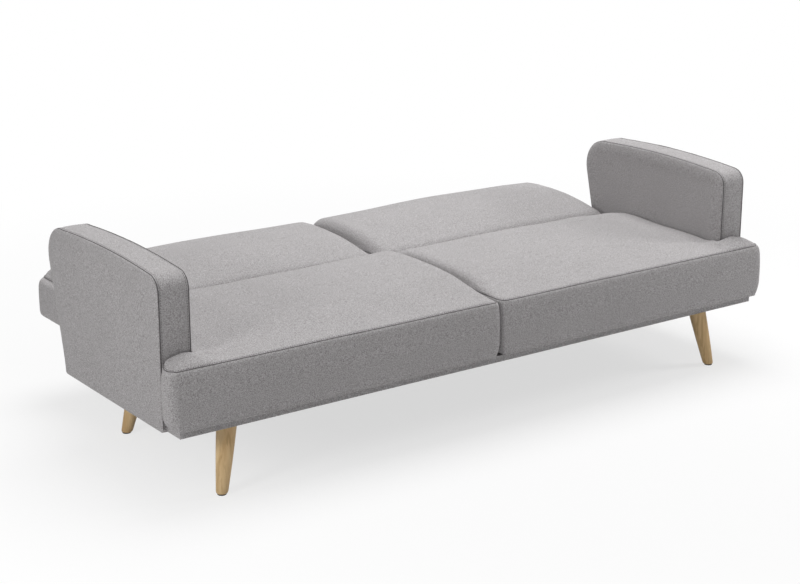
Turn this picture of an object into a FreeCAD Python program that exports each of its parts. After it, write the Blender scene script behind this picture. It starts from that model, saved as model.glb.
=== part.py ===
"""Click clack sofa bed, drawn flat as a bed.

Frame: millimetres, +X to the right as seen from the front, +Y to the back,
+Z up, origin on the floor under the middle of the overall box.
"""
import FreeCAD
import Part
import math
import os

from FreeCAD import Vector

# Overall plan
width = 2000.0                 # over the outer faces of the arms
seat_depth = 545.0             # front bulge of the seat cushion to its rear face
back_length = 450.0            # near face to far face of the back cushion
seat_to_pivot = 17.0           # seat rear face to the hinge axis
back_to_pivot = 2.0            # how far the back's near face lies in front of the axis
soft_gap = 0.3                 # between faces that only touch softly

# Heights
leg_height = 187.0
board_thick = 18.0             # plinth boards
seam_rise = 158.0              # cushion base to its front top seam
seat_crown = 40.0              # crown of the seat over its seam, mid cushion
back_rise = 30.0               # underside of the back over the seat cushion's base
back_thick = 153.0             # far top edge of the back over its underside
back_crown = 18.0              # crown of the back over its far top edge
pivot_rise = 139.0             # hinge axis over the cushion base

# Arms
arm_thick = 91.3
arm_past_seat = 81.0           # arm's rear bottom corner behind the seat cushion
arm_height = 397.0             # underside to the front top corner
arm_bulge = 13.0               # crown of the arm's top line
arm_lean = 13.4                # lean of the arm's rear edge, degrees from upright
arm_front_radius = 34.0
arm_rear_radius = 70.0
arm_cover_wall = 14.0          # padding and cloth over the arm's frame
arm_edge_radius = 6.0
arm_rail = 42.0                # width of the arm frame's rails
arm_bottom_rail = 75.0
arm_bays = 3

# Plinth
cushion_overhang = 20.0        # seat cushion bulge past the plinth's front
plinth_end_inset = 16.0        # plinth end to the arm's outer face
arm_setback = 62.0             # plinth front to the arm's front face
board_width = 100.0
rear_board_inset = 6.0         # rear board to the arm's rear bottom corner

# Seat and back frames
frame_end_inset = 20.7         # arm's inner face to the seat frame's end
centre_inset = 20.0            # middle of the sofa to the seat frame's inner end
frame_rail = 25.0
frame_height = 58.0
frame_front_inset = 35.0       # cushion front to the frame
seat_frame_rear_inset = 22.0   # cushion rear to the frame
back_frame_near_inset = 17.0
back_frame_far_inset = 27.0
cross_rails = 3
webbing_width = 55.0
webbing_thick = 2.0
webbing_straps = 8
back_panel_thick = 3.0
end_gap = 1.5                  # seat cushion's inner end to the middle of the sofa
back_end_gap = 2.5             # back cushion's inner end to the middle of the sofa
back_arm_gap = 5.7             # back cushion's outer end to the arm
ear_reach = 19.0               # seat cushion's ear past the arm's outer face
end_ease = 30.0                # length over which a cushion's end rounds off
end_tuck = 8.0                 # the last and steepest part of it

# Legs
leg_inset = 144.0              # foot centre to the arm's outer face
front_foot_setback = 32.0      # foot centre to the plinth front
rear_foot_inset = 52.0         # foot centre to the arm's rear bottom corner
splay_side = 36.5              # how far a leg leans outwards over its height
splay_fore = 28.0              # how far a leg leans to the front or the back
leg_top_radius = 27.0
leg_foot_radius = 15.5
leg_foot_round = 2.5
leg_sides = 24
glide_thick = 3.0
glide_radius = 12.0
leg_bolt_radius = 4.0
leg_bolt_depth = 35.0
insert_radius = 8.0

# Click clack hinge
plate_thick = 3.0
plate_gap = 0.4                # between the fixed and the moving plate
hub_radius = 12.0
fixed_hub_radius = 13.0
pin_radius = 5.0
pin_head_radius = 8.0
pin_head_thick = 3.0
running_clearance = 0.06       # radial, pin in moving plate and rivet in pawl
rivet_radius = 3.0
rivet_head_radius = 5.0
rivet_head_thick = 1.5
tooth_tip_radius = 30.0
tooth_root_radius = 21.0
tooth_pitch = 19.0             # degrees, one click of the back
clicks = 4                     # the last click is the upright back
pawl_angle = 250.0             # where the pawl bites, from +Y towards +Z
pawl_pivot_radius = 46.0
pawl_pivot_angle = 190.0
pawl_thick = 2.8
pawl_lift = 13.0               # degrees the pawl is held off the teeth
pawl_boss = 7.0
spring_thick = 1.2
spring_post_front = 4.0        # spring's post in front of and below the pawl's rivet
spring_post_drop = 33.0
spring_tip_back = 14.0         # spring's tip behind and below the pawl's rivet
spring_tip_drop = 24.6
neck_setback = 5.0             # neck of the moving plate in front of the axis
neck_gusset = 29.0             # corner brace behind the neck
fixed_bar_length = 150.0
moving_bar_length = 155.0
bar_height = 44.0
bar_rise = 7.0                 # hinge bar over the foot of its frame
hinge_bolt_radius = 3.0
hinge_bolt_head = 6.0
hinge_bolt_head_thick = 4.0
hinge_bolt_length = 20.0
hinge_bolts = 2
slot_clearance = 4.0           # room beside the hinge plates inside the cushions

# Arm bolts
arm_bolt_radius = 4.0
arm_bolt_head = 8.0
arm_bolt_head_thick = 5.0
arm_bolt_bite = 30.0           # how far a bolt reaches into the arm's frame
arm_bolts = 2
dust_thick = 0.8

# Places worked out from the sizes above
overall_depth = seat_depth + seat_to_pivot - back_to_pivot + back_length
front_y = -overall_depth / 2
seat_rear = front_y + seat_depth
pivot_y = seat_rear + seat_to_pivot
back_near = pivot_y - back_to_pivot
back_far = back_near + back_length
base_z = leg_height + board_thick
seam_z = base_z + seam_rise
pivot_z = base_z + pivot_rise
back_base = base_z + back_rise
back_top = back_base + back_thick
half_width = width / 2
arm_inner = half_width - arm_thick
plinth_front = front_y + cushion_overhang
arm_front = plinth_front + arm_setback
arm_rear = seat_rear + arm_past_seat
arm_top = leg_height + arm_height
frame_outer = arm_inner - frame_end_inset
half_mid = (frame_outer + centre_inset) / 2
plinth_half = half_width - plinth_end_inset
fixed_x = frame_outer
moving_x = frame_outer - plate_gap - plate_thick
back_frame_outer = moving_x
frame_front = front_y + frame_front_inset
frame_rear = seat_rear - seat_frame_rear_inset
frame_top = base_z + frame_height
back_frame_near = back_near + back_frame_near_inset
back_frame_far = back_far - back_frame_far_inset
back_frame_base = back_base + back_panel_thick
back_frame_top = back_frame_base + frame_height
bolt_out = hinge_bolt_head_thick + slot_clearance / 4
slot_outer = fixed_x + plate_thick + bolt_out
slot_inner = moving_x - slot_clearance
rear_board_front = arm_rear - rear_board_inset - board_width
bar_base = base_z + bar_rise
bar_top = bar_base + bar_height
fixed_bar_start = frame_rear - fixed_bar_length
moving_bar_base = back_frame_base + bar_rise
moving_bar_top = moving_bar_base + bar_height
moving_bar_start = back_frame_near
moving_bar_end = moving_bar_start + moving_bar_length
neck_front = pivot_y - neck_setback
neck_back = pivot_y + hub_radius


def box(x0, x1, y0, y1, z0, z1):
    """A block between two corners."""
    return Part.makeBox(x1 - x0, y1 - y0, z1 - z0, Vector(x0, y0, z0))


def rod(x0, x1, y, z, radius):
    """A round bar along X."""
    return Part.makeCylinder(radius, x1 - x0, Vector(x0, y, z), Vector(1, 0, 0))


def bar(x0, x1, y, z, radius, sides=6):
    """A straight-sided bar along X."""
    return prism([polar(y, z, radius, 360 / sides * i) for i in range(sides)], x0, x1)


def polar(y, z, radius, angle):
    """The point at a radius and an angle, from +Y towards +Z."""
    a = math.radians(angle)
    return (y + radius * math.cos(a), z + radius * math.sin(a))


pawl_spot = polar(pivot_y, pivot_z, pawl_pivot_radius, pawl_pivot_angle)
stop_spot = (neck_front - rivet_radius - soft_gap, moving_bar_base + bar_height / 2)
spring_spot = (pawl_spot[0] - spring_post_front, pawl_spot[1] - spring_post_drop)
spring_tip = (pawl_spot[0] + spring_tip_back, pawl_spot[1] - spring_tip_drop)


def prism(points, x0, x1):
    """A plate with the given outline in Y and Z, from x0 to x1."""
    loop = [Vector(x0, y, z) for y, z in points]
    face = Part.Face(Part.makePolygon(loop + loop[:1]))
    return face.extrude(Vector(x1 - x0, 0, 0))


def mirrored(shape, x):
    """The shape's mirror image in the plane at x."""
    return shape.mirror(Vector(x, 0, 0), Vector(1, 0, 0))


def outer_and_inner(shape):
    """A piece of the outer hinge and the same piece of the inner hinge."""
    return [shape, mirrored(shape, half_mid)]


def group(shapes):
    """Separate solids in one node."""
    return Part.makeCompound([s for shape in shapes for s in shape.Solids])


def loft(wires):
    """A closed solid through a row of wires."""
    return Part.makeLoft(wires, True, True)


def outline(x, edges):
    """A wire at x; each edge is two points for a line or three for an arc."""
    made = []
    for points in edges:
        spots = [Vector(x, y, z) for y, z in points]
        if len(spots) == 2:
            made.append(Part.makeLine(*spots))
        else:
            made.append(Part.Arc(*spots).toShape())
    return Part.Wire(made)


# Plinth

def plinth_front_rail():
    """Front board: wide between the arms and narrow in front of them."""
    z0, z1 = leg_height, base_z
    strip = box(-plinth_half, plinth_half, plinth_front, arm_front - soft_gap, z0, z1)
    middle = box(-arm_inner, arm_inner, plinth_front, plinth_front + board_width, z0, z1)
    return drilled(strip.fuse(middle).removeSplitter(), "front")


def plinth_rear_rail():
    rail = box(-arm_inner, arm_inner, rear_board_front, rear_board_front + board_width,
               leg_height, base_z)
    return drilled(rail, "rear")


def plinth_side_rail():
    return box(arm_inner - board_width, arm_inner, plinth_front + board_width,
               rear_board_front, leg_height, base_z)


def plinth_centre_rail():
    half = board_width / 2
    return box(-half, half, plinth_front + board_width, rear_board_front,
               leg_height, base_z)


def drilled(rail, end):
    """The board with its pair of holes for the leg inserts."""
    for side in ("left", "right"):
        rail = rail.cut(leg_rod(end, side, insert_radius, -board_thick, 2 * board_thick))
    return rail


# Legs

def leg_line(end, side):
    """A leg's axis: its foot on the floor and its unit direction upwards."""
    x = half_width - leg_inset
    if end == "front":
        y = plinth_front + front_foot_setback
        dy = splay_fore
    else:
        y = arm_rear - rear_foot_inset
        dy = -splay_fore
    sign = 1 if side == "right" else -1
    up = Vector(-sign * splay_side, dy, leg_height)
    return Vector(sign * x, y, 0), up


def leg_point(end, side, z):
    foot, up = leg_line(end, side)
    return foot + up * (z / leg_height)


def leg_rod(end, side, radius, below, above):
    """A hexagonal bar on a leg's axis, between two heights over the leg's top."""
    foot, up = leg_line(end, side)
    length = (above - below) * up.Length / leg_height
    loop = [Vector(*polar(0, 0, radius, 60 * i), 0) for i in range(6)]
    piece = Part.Face(Part.makePolygon(loop + loop[:1])).extrude(Vector(0, 0, length))
    turn = FreeCAD.Rotation(Vector(0, 0, 1), up)
    piece.Placement = FreeCAD.Placement(leg_point(end, side, leg_height + below), turn)
    return piece


def leg(end, side):
    """A tapered round leg, level at the top and eased round the foot."""
    rows = [
        (glide_thick, leg_foot_radius - leg_foot_round),
        (glide_thick + leg_foot_round, leg_foot_radius),
        (leg_height, leg_top_radius),
    ]
    rings = []
    for z, radius in rows:
        spot = leg_point(end, side, z)
        rings.append([Vector(*polar(spot.x, spot.y, radius, 360 / leg_sides * i), z)
                      for i in range(leg_sides)])
    faces = [Part.Face(Part.makePolygon(ring + ring[:1])) for ring in (rings[0], rings[-1])]
    for low, high in zip(rings, rings[1:]):
        for i in range(leg_sides):
            quad = [low[i - 1], low[i], high[i], high[i - 1], low[i - 1]]
            faces.append(Part.Face(Part.makePolygon(quad)))
    body = Part.Solid(Part.makeShell(faces))
    return body.cut(leg_rod(end, side, leg_bolt_radius, -leg_bolt_depth, board_thick))


def leg_insert(end, side):
    """Threaded sleeve in the board, flush with both its faces."""
    sleeve = leg_rod(end, side, insert_radius, -board_thick, 2 * board_thick)
    bore = leg_rod(end, side, leg_bolt_radius, -2 * board_thick, 3 * board_thick)
    slab = box(-half_width, half_width, front_y, back_far, leg_height, base_z)
    return sleeve.cut(bore).common(slab)


def hanger_bolt(end, side):
    return leg_rod(end, side, leg_bolt_radius, -leg_bolt_depth, board_thick - 2)


def glide(end, side):
    """Low twelve-sided pad under a foot."""
    spot = leg_point(end, side, glide_thick)
    loop = [Vector(*polar(spot.x, spot.y, glide_radius, 30 * i), 0) for i in range(12)]
    return Part.Face(Part.makePolygon(loop + loop[:1])).extrude(Vector(0, 0, glide_thick))


# Wooden frames under the cushions

def ladder_frame(x0, x1, y0, y1, z0, z1):
    """Four outer rails with cross rails between them."""
    frame = box(x0, x1, y0, y1, z0, z1)
    bay = (x1 - x0 - (cross_rails + 2) * frame_rail) / (cross_rails + 1)
    for i in range(cross_rails + 1):
        left = x0 + frame_rail + i * (bay + frame_rail)
        frame = frame.cut(box(left, left + bay, y0 + frame_rail, y1 - frame_rail, z0, z1))
    return frame


def straps(x0, x1, y0, y1, z):
    """Elastic webbing from the near rail to the far one."""
    pitch = (x1 - x0) / webbing_straps
    made = []
    for i in range(webbing_straps):
        mid = x0 + (i + 0.5) * pitch
        made.append(box(mid - webbing_width / 2, mid + webbing_width / 2,
                        y0, y1, z, z + webbing_thick))
    return group(made)


def seat_frame():
    return ladder_frame(centre_inset, frame_outer, frame_front, frame_rear,
                        base_z, frame_top)


def back_frame():
    inner = 2 * half_mid - back_frame_outer
    return ladder_frame(inner, back_frame_outer, back_frame_near, back_frame_far,
                        back_frame_base, back_frame_top)


# Seat cushion

def seat_section(x, front_in, top_in, crown, rear):
    """Cushion outline at x, with its front and top drawn in by the given amounts."""
    f = front_y + front_in
    t = seam_z - top_in
    b = base_z
    run = rear - front_y
    soft = min(25.0, run / 5)
    return outline(x, [
        [(rear, b), (f + 18, b)],
        [(f + 18, b), (f + 4, b + 12)],
        [(f + 4, b + 12), (f, b + 0.45 * seam_rise), (f + 10, t - 5)],
        [(f + 10, t - 5), (f + 18, t + 1)],
        [(f + 18, t + 1), ((f + rear) / 2, t + crown), (rear - soft, t + 5)],
        [(rear - soft, t + 5), (rear - soft / 4, t - 5)],
        [(rear - soft / 4, t - 5), (rear, t - soft)],
        [(rear, t - soft), (rear, b)],
    ])


def seat_body():
    """Crowned cushion between the arms, with softly rounded ends."""
    inner, outer = end_gap, arm_inner - soft_gap
    run = outer - inner
    rows = [
        (inner, 20, 9, seat_crown - 16), (inner + end_tuck, 7, 3, seat_crown - 11),
        (inner + end_ease, 0, 0, seat_crown - 8), (inner + 0.25 * run, 0, 0, seat_crown - 3),
        (inner + 0.5 * run, 0, 0, seat_crown), (inner + 0.68 * run, 0, 0, seat_crown - 5),
        (inner + 0.86 * run, 0, 0, seat_crown - 14), (outer, 0, 0, seat_crown - 30),
    ]
    return loft([seat_section(x, a, b, c, seat_rear) for x, a, b, c in rows])


def seat_ear():
    """The cushion's short wing in front of the arm."""
    start, end = arm_inner - soft_gap, half_width + ear_reach
    rear = arm_front - soft_gap
    crown = seat_crown - 20
    rows = [
        (start, 0, 0, crown), (end - 2 * end_ease, 0, 0, crown - 4),
        (end - end_ease, 0, 1, crown - 8), (end - end_tuck, 7, 6, crown - 12),
        (end, 18, 18, crown - 14),
    ]
    return loft([seat_section(x, a, b, c, rear) for x, a, b, c in rows])


def seat_cushion():
    """Foam and cloth over the seat frame, hollow below to take it."""
    body = seat_body().fuse(seat_ear()).removeSplitter()
    clear = soft_gap
    body = body.cut(box(centre_inset - clear, frame_outer + clear, frame_front - clear,
                        frame_rear + clear, base_z, frame_top + webbing_thick))
    bar = box(fixed_x, slot_outer, fixed_bar_start - slot_clearance, seat_rear,
              base_z, bar_top + slot_clearance)
    slot = box(slot_inner, slot_outer, pawl_spot[0] - 5 * slot_clearance, seat_rear + 1,
               base_z, pivot_z + 2 * slot_clearance)
    for cutter in outer_and_inner(bar) + outer_and_inner(slot):
        body = body.cut(cutter)
    for bolt in arm_bolt_set():
        body = body.cut(bolt)
    return body


# Back cushion

def back_section(x, far_in, top_in, crown):
    """Cushion outline at x, lying flat."""
    n = back_near
    f = back_far - far_in
    b = back_base
    t = back_top - top_in
    low = t - 28
    return outline(x, [
        [(n, b), (f - 30, b)],
        [(f - 30, b), (f - 4, b + 20)],
        [(f - 4, b + 20), (f, b + 0.4 * back_thick), (f - 12, t - 8)],
        [(f - 12, t - 8), (f - 22, t)],
        [(f - 22, t), ((n + f) / 2 + 10, t + crown), (n + 20, low + 2)],
        [(n + 20, low + 2), (n + 5, low - 6)],
        [(n + 5, low - 6), (n, low - 24)],
        [(n, low - 24), (n, b)],
    ])


def back_body():
    inner, outer = back_end_gap, arm_inner - back_arm_gap
    run = outer - inner
    rows = [
        (inner, 20, 9, back_crown - 10), (inner + end_tuck, 7, 3, back_crown - 7),
        (inner + end_ease, 0, 0, back_crown - 5), (inner + 0.5 * run, 0, 0, back_crown),
        (inner + 0.75 * run, 0, 0, back_crown - 4), (outer - end_ease, 0, 0, back_crown - 8),
        (outer - end_tuck, 7, 3, back_crown - 9), (outer, 20, 9, back_crown - 11),
    ]
    return loft([back_section(*row) for row in rows])


def back_cushion():
    """Foam and cloth over the back frame, hollow on its underside."""
    clear = soft_gap
    inner = 2 * half_mid - back_frame_outer
    body = back_body()
    body = body.cut(box(inner - clear, back_frame_outer + clear, back_frame_near - clear,
                        back_frame_far + clear, back_base, back_frame_top + webbing_thick))
    room = slot_clearance
    rear = neck_back + room
    neck = prism([
        (back_near - 1, back_base), (moving_bar_end + room, back_base),
        (moving_bar_end + room, moving_bar_top + room),
        (rear + neck_gusset, moving_bar_top + room),
        (rear, moving_bar_top + room + neck_gusset), (rear, pivot_z),
        (back_near - 1, pivot_z)], slot_inner, slot_outer)
    hub = rod(slot_inner, slot_outer, pivot_y, pivot_z, fixed_hub_radius + 1)
    for cutter in outer_and_inner(neck.fuse(hub)):
        body = body.cut(cutter)
    return body


def back_panel():
    """Thin board that closes the back's underside."""
    inner = 2 * half_mid - back_frame_outer
    return box(inner, back_frame_outer, back_frame_near, back_frame_far,
               back_base, back_frame_base)


# Arms

def arm_block(inset, x0, x1):
    """The arm's side outline, drawn in by inset except below, as a slab along X."""
    lean = math.radians(arm_lean)
    front, bottom, top = arm_front + inset, leg_height, arm_top - inset
    low = arm_rear - inset / math.cos(lean)
    corner = low + math.tan(lean) * (top - bottom)
    wire = outline(x0, [
        [(front, bottom), (front, top)],
        [(front, top), ((front + corner) / 2, top + arm_bulge), (corner, top)],
        [(corner, top), (low, bottom)],
        [(low, bottom), (front, bottom)],
    ])
    block = Part.Face(wire).extrude(Vector(x1 - x0, 0, 0))
    for y, radius in ((front, arm_front_radius), (corner, arm_rear_radius)):
        edges = [e for e in block.Edges if e.BoundBox.XLength > (x1 - x0) / 2
                 and abs(e.BoundBox.YMin - y) < 0.01 and abs(e.BoundBox.ZMin - top) < 0.01]
        block = block.makeFillet(radius - inset, edges)
    return block


def arm_core():
    wall = arm_cover_wall
    return arm_block(wall, arm_inner + wall, half_width - wall)


def arm_bay(i):
    """One opening of the arm's frame, leaning as the posts beside it do."""
    lean = math.tan(math.radians(arm_lean))
    z0 = leg_height + arm_bottom_rail
    z1 = arm_top - arm_cover_wall - arm_rail
    front = arm_front + arm_cover_wall + arm_rail
    rear = arm_rear - arm_cover_wall - arm_rail

    def edge(part, z):
        back = rear + lean * (z - leg_height)
        return front + part * (back - front)

    half = arm_rail / 2 / (rear - front)
    a = i / arm_bays + (half if i else 0)
    b = (i + 1) / arm_bays - (half if i + 1 < arm_bays else 0)
    corners = [(edge(a, z0), z0), (edge(b, z0), z0), (edge(b, z1), z1), (edge(a, z1), z1)]
    return prism(corners, arm_inner, half_width)


def arm_frame():
    """Wooden frame of posts and rails inside the arm."""
    frame = arm_core()
    for i in range(arm_bays):
        frame = frame.cut(arm_bay(i))
    return frame


def arm_rim(inset, x):
    """The arm's side outline at x as a wire, drawn in by inset except below."""
    slab = arm_block(inset, x, x + 1)
    side = [f for f in slab.Faces if f.BoundBox.XMax < x + 0.01]
    return side[0].OuterWire


def arm_cover():
    """Padding and cloth round the arm's frame, open on the underside."""
    r = arm_edge_radius
    slant = r * (1 - math.sqrt(0.5))
    x0, x1 = arm_inner, half_width
    rims = [(r, x0), (slant, x0 + slant), (0, x0 + r), (0, x1 - r),
            (slant, x1 - slant), (r, x1)]
    body = loft([arm_rim(inset, x) for inset, x in rims])
    body = body.cut(arm_core())
    for bolt in arm_bolt_set():
        body = body.cut(bolt)
    return body


def arm_bolt_set():
    """Bolts from inside the seat frame, through its end rail, into the arm."""
    z = base_z + frame_height / 2
    first = arm_front + arm_cover_wall + arm_rail / 2
    last = fixed_bar_start - arm_rail
    rail = frame_outer - frame_rail
    made = []
    for i in range(arm_bolts):
        y = first + (last - first) * i / (arm_bolts - 1)
        shank = bar(rail, arm_inner + arm_cover_wall + arm_bolt_bite, y, z, arm_bolt_radius)
        head = bar(rail - arm_bolt_head_thick, rail, y, z, arm_bolt_head)
        made.append(shank.fuse(head))
    return made


# Click clack hinge, drawn at the right outer end

def bolt_row(start, end, z, x):
    """Hex bolts in a row along Y whose heads bear on a plate's face at x."""
    made = []
    for i in range(hinge_bolts):
        y = start + (end - start) * i / (hinge_bolts - 1)
        shank = bar(x - hinge_bolt_length, x, y, z, hinge_bolt_radius)
        head = bar(x, x + hinge_bolt_head_thick, y, z, hinge_bolt_head)
        made.append(shank.fuse(head))
    return made


def fixed_bolts():
    z = (bar_base + bar_top) / 2
    row = bolt_row(fixed_bar_start + bar_height / 2, frame_rear - bar_height / 2, z,
                   fixed_x + plate_thick)
    return [piece for bolt in row for piece in outer_and_inner(bolt)]


def moving_bolts():
    z = (moving_bar_base + moving_bar_top) / 2
    row = bolt_row(moving_bar_start + bar_height / 2, moving_bar_end - bar_height / 2, z,
                   moving_x + plate_thick)
    return [piece for bolt in row for piece in outer_and_inner(bolt)]


def fixed_plate():
    """Plate on the seat frame's end that rises to carry the hinge pin and the pawl."""
    edge = neck_front + 1
    r = fixed_hub_radius
    drop = math.sqrt(r * r - (pivot_y - edge) ** 2)
    pawl_y, pawl_z = pawl_spot
    spring_y, spring_z = spring_spot
    front = spring_y - rivet_head_radius - 1
    hub_start = (edge, pivot_z - drop)
    hub_end = polar(pivot_y, pivot_z, r, 140)
    rise = [hub_end, (pawl_y, pawl_z + pawl_boss), (pawl_y - pawl_boss, pawl_z),
            (front, spring_z), (front, bar_top), (fixed_bar_start, bar_top),
            (fixed_bar_start, bar_base), (frame_rear - 4, bar_base), (edge, bar_top),
            hub_start]
    edges = [list(pair) for pair in zip(rise, rise[1:])]
    edges.insert(0, [hub_start, polar(pivot_y, pivot_z, r, 0), hub_end])
    plate = Part.Face(outline(fixed_x, edges)).extrude(Vector(plate_thick, 0, 0))
    for piece in [hinge_pin(), pawl_rivet()] + posts() + fixed_bolts():
        plate = plate.cut(piece)
    return plate


def ratchet():
    """Saw teeth in front of the hub: one steep face for each click of the back."""
    tip, root = tooth_tip_radius, tooth_root_radius
    points = [polar(pivot_y, pivot_z, tip, pawl_angle + tooth_pitch / 2)]
    for click in range(clicks + 1):
        angle = pawl_angle - click * tooth_pitch
        points.append(polar(pivot_y, pivot_z, tip, angle))
        points.append(polar(pivot_y, pivot_z, root if click < clicks else hub_radius, angle))
    return points


def moving_plate():
    """Plate on the back frame's end with the toothed hub."""
    back = neck_back
    soft = bar_height / 6
    base, top, end = moving_bar_base, moving_bar_top, moving_bar_end
    teeth = ratchet()
    rise = [(back, pivot_z), (back, top + neck_gusset), (back + neck_gusset, top),
            (end - soft, top), (end, top - soft), (end, base + soft), (end - soft, base),
            (neck_front + soft, base), (neck_front, base + soft)] + teeth
    edges = [list(pair) for pair in zip(rise, rise[1:])]
    edges.append([teeth[-1], polar(pivot_y, pivot_z, hub_radius, 90), (back, pivot_z)])
    plate = Part.Face(outline(moving_x, edges)).extrude(Vector(plate_thick, 0, 0))
    plate = plate.cut(rod(moving_x - 1, fixed_x, pivot_y, pivot_z,
                          pin_radius + running_clearance))
    for bolt in moving_bolts():
        plate = plate.cut(bolt)
    return plate


def pivot(y, z, radius, head, thick):
    """A pin keyed in the fixed plate, round where the moving piece turns on it."""
    inner = moving_x - soft_gap
    shank = rod(inner, fixed_x, y, z, radius)
    key = bar(fixed_x, fixed_x + plate_thick, y, z, radius)
    cap = bar(inner - thick, inner, y, z, head, 12)
    return shank.fuse([key, cap])


def hinge_pin():
    return pivot(pivot_y, pivot_z, pin_radius, pin_head_radius, pin_head_thick)


def pawl_rivet():
    return pivot(*pawl_spot, rivet_radius, rivet_head_radius, rivet_head_thick)


def posts():
    """The spring's post and the stop that the moving plate rests on."""
    return [bar(moving_x - soft_gap, fixed_x + plate_thick, y, z, rivet_radius)
            for y, z in (spring_spot, stop_spot)]


def pawl_bite_outline():
    """The pawl's outline with its nose in a notch of the ratchet."""
    nose = pawl_angle - 0.7
    y, z = pawl_spot
    axis = (pivot_y, pivot_z)
    return [
        polar(*axis, tooth_root_radius + 2.3, nose), polar(*axis, tooth_tip_radius + 9, nose),
        (y - 1, z - pawl_boss + 0.5), (y + 2, z + pawl_boss - 0.5),
        polar(*axis, tooth_tip_radius + 1.5, nose - 12.5),
        polar(*axis, tooth_root_radius + 2.3, nose - 3),
    ]


def pawl():
    """Hook that drops into the teeth and stops the back from falling; held off."""
    y, z = pawl_spot
    x0 = moving_x + 0.1
    x1 = x0 + pawl_thick
    body = prism(pawl_bite_outline(), x0, x1).fuse(bar(x0, x1, y, z, pawl_boss, 12))
    body = body.removeSplitter()
    body = body.cut(rod(x0 - 1, x1 + 1, y, z, rivet_radius + running_clearance))
    body.rotate(Vector(0, y, z), Vector(1, 0, 0), -pawl_lift)
    return body


def pawl_spring():
    """Flat spring with an eye on its rivet and its tip under the pawl."""
    y, z = spring_spot
    tip_y, tip_z = spring_tip
    x0 = moving_x + 0.3
    x1 = x0 + pawl_thick - 0.4
    eye = rivet_head_radius
    blade = prism([(y, z + eye), (tip_y, tip_z), (tip_y + 0.6, tip_z - spring_thick),
                   (y + 1, z + eye - 1.5 * spring_thick)], x0, x1)
    ring = bar(x0, x1, y, z, eye)
    return ring.fuse(blade).removeSplitter().cut(bar(x0, x1, y, z, rivet_radius))


def dust_cover():
    """Thin cloth under the plinth between the legs."""
    half = half_width - leg_inset - splay_side - 1.5 * leg_top_radius
    return box(-half, half, plinth_front + board_width / 4,
               rear_board_front + 0.75 * board_width, leg_height - dust_thick, leg_height)


def both_sides(name, shape, made):
    """Adds a right-hand piece and its mirror image on the left."""
    made["right_" + name] = shape
    made["left_" + name] = mirrored(shape, 0)


def model():
    made = {
        "plinth_front_rail": plinth_front_rail(),
        "plinth_rear_rail": plinth_rear_rail(),
        "plinth_centre_rail": plinth_centre_rail(),
        "dust_cover": dust_cover(),
    }
    both_sides("plinth_rail", plinth_side_rail(), made)
    both_sides("seat_frame", seat_frame(), made)
    both_sides("seat_webbing", straps(centre_inset, frame_outer, frame_front, frame_rear,
                                      frame_top), made)
    both_sides("seat_cushion", seat_cushion(), made)
    both_sides("arm_frame", arm_frame(), made)
    both_sides("arm_cover", arm_cover(), made)
    both_sides("back_frame", back_frame(), made)
    inner = 2 * half_mid - back_frame_outer
    both_sides("back_webbing", straps(inner, back_frame_outer, back_frame_near,
                                      back_frame_far, back_frame_top), made)
    both_sides("back_cushion", back_cushion(), made)
    both_sides("back_panel", back_panel(), made)
    both_sides("moving_plate_bolts", group(moving_bolts()), made)
    for name, shape in (("fixed_plate", fixed_plate()), ("moving_plate", moving_plate()),
                        ("pawl", pawl())):
        both_sides("outer_" + name, shape, made)
        both_sides("inner_" + name, mirrored(shape, half_mid), made)
    fasteners = {
        "arm_bolts": arm_bolt_set(),
        "fixed_plate_bolts": fixed_bolts(),
        "hinge_pins": outer_and_inner(hinge_pin()),
        "pawl_rivets": outer_and_inner(pawl_rivet()),
        "hinge_posts": [piece for post in posts() for piece in outer_and_inner(post)],
        "pawl_springs": outer_and_inner(pawl_spring()),
    }
    for name, right in fasteners.items():
        made[name] = group(right + [mirrored(piece, 0) for piece in right])
    corners = [(end, side) for end in ("front", "rear") for side in ("left", "right")]
    for end, side in corners:
        made[end + "_" + side + "_leg"] = leg(end, side)
    made["leg_inserts"] = group([leg_insert(*corner) for corner in corners])
    made["leg_bolts"] = group([hanger_bolt(*corner) for corner in corners])
    made["leg_glides"] = group([glide(*corner) for corner in corners])
    return made


os.makedirs("parts", exist_ok=True)
for node, solid in model().items():
    solid.exportStep("parts/" + node + ".step")
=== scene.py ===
"""Looks of the click clack sofa bed, laid flat as a bed."""
import bmesh
import bpy
import math
from mathutils import Matrix, Vector, noise
from mathutils.bvhtree import BVHTree
from mathutils.geometry import interpolate_bezier


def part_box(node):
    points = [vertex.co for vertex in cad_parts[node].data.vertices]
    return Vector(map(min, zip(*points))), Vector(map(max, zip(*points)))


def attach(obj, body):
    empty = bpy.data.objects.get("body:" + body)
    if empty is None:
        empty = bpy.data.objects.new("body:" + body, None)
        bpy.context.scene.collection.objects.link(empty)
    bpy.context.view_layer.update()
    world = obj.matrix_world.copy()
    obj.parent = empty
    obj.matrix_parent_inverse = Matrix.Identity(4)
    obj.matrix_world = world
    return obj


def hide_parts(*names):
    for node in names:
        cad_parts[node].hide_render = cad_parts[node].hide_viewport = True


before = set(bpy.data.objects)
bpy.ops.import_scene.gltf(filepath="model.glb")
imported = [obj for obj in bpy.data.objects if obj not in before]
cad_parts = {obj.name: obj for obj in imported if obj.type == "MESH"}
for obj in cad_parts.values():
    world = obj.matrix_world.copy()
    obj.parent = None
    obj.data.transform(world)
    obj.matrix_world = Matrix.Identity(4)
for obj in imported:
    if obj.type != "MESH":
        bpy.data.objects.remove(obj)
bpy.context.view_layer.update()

SIGN = {"right": 1, "left": -1}
CELL = 0.0105                # spacing of the cloth meshes
SHARP = math.radians(50)     # edges that turn by more than this stay crisp
SEAM_DEPTH = 0.0026          # how far a seam sinks into the padding
SEAM_SHADE_RADIUS = 0.0010         # radius of the dark tube in a seam's groove, painted shade of the groove
SEAM_SHADE_LIFT = 0.45             # height of the painted-shade tube's middle over its groove, in radii
STITCH_PITCH = 0.0066
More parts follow.
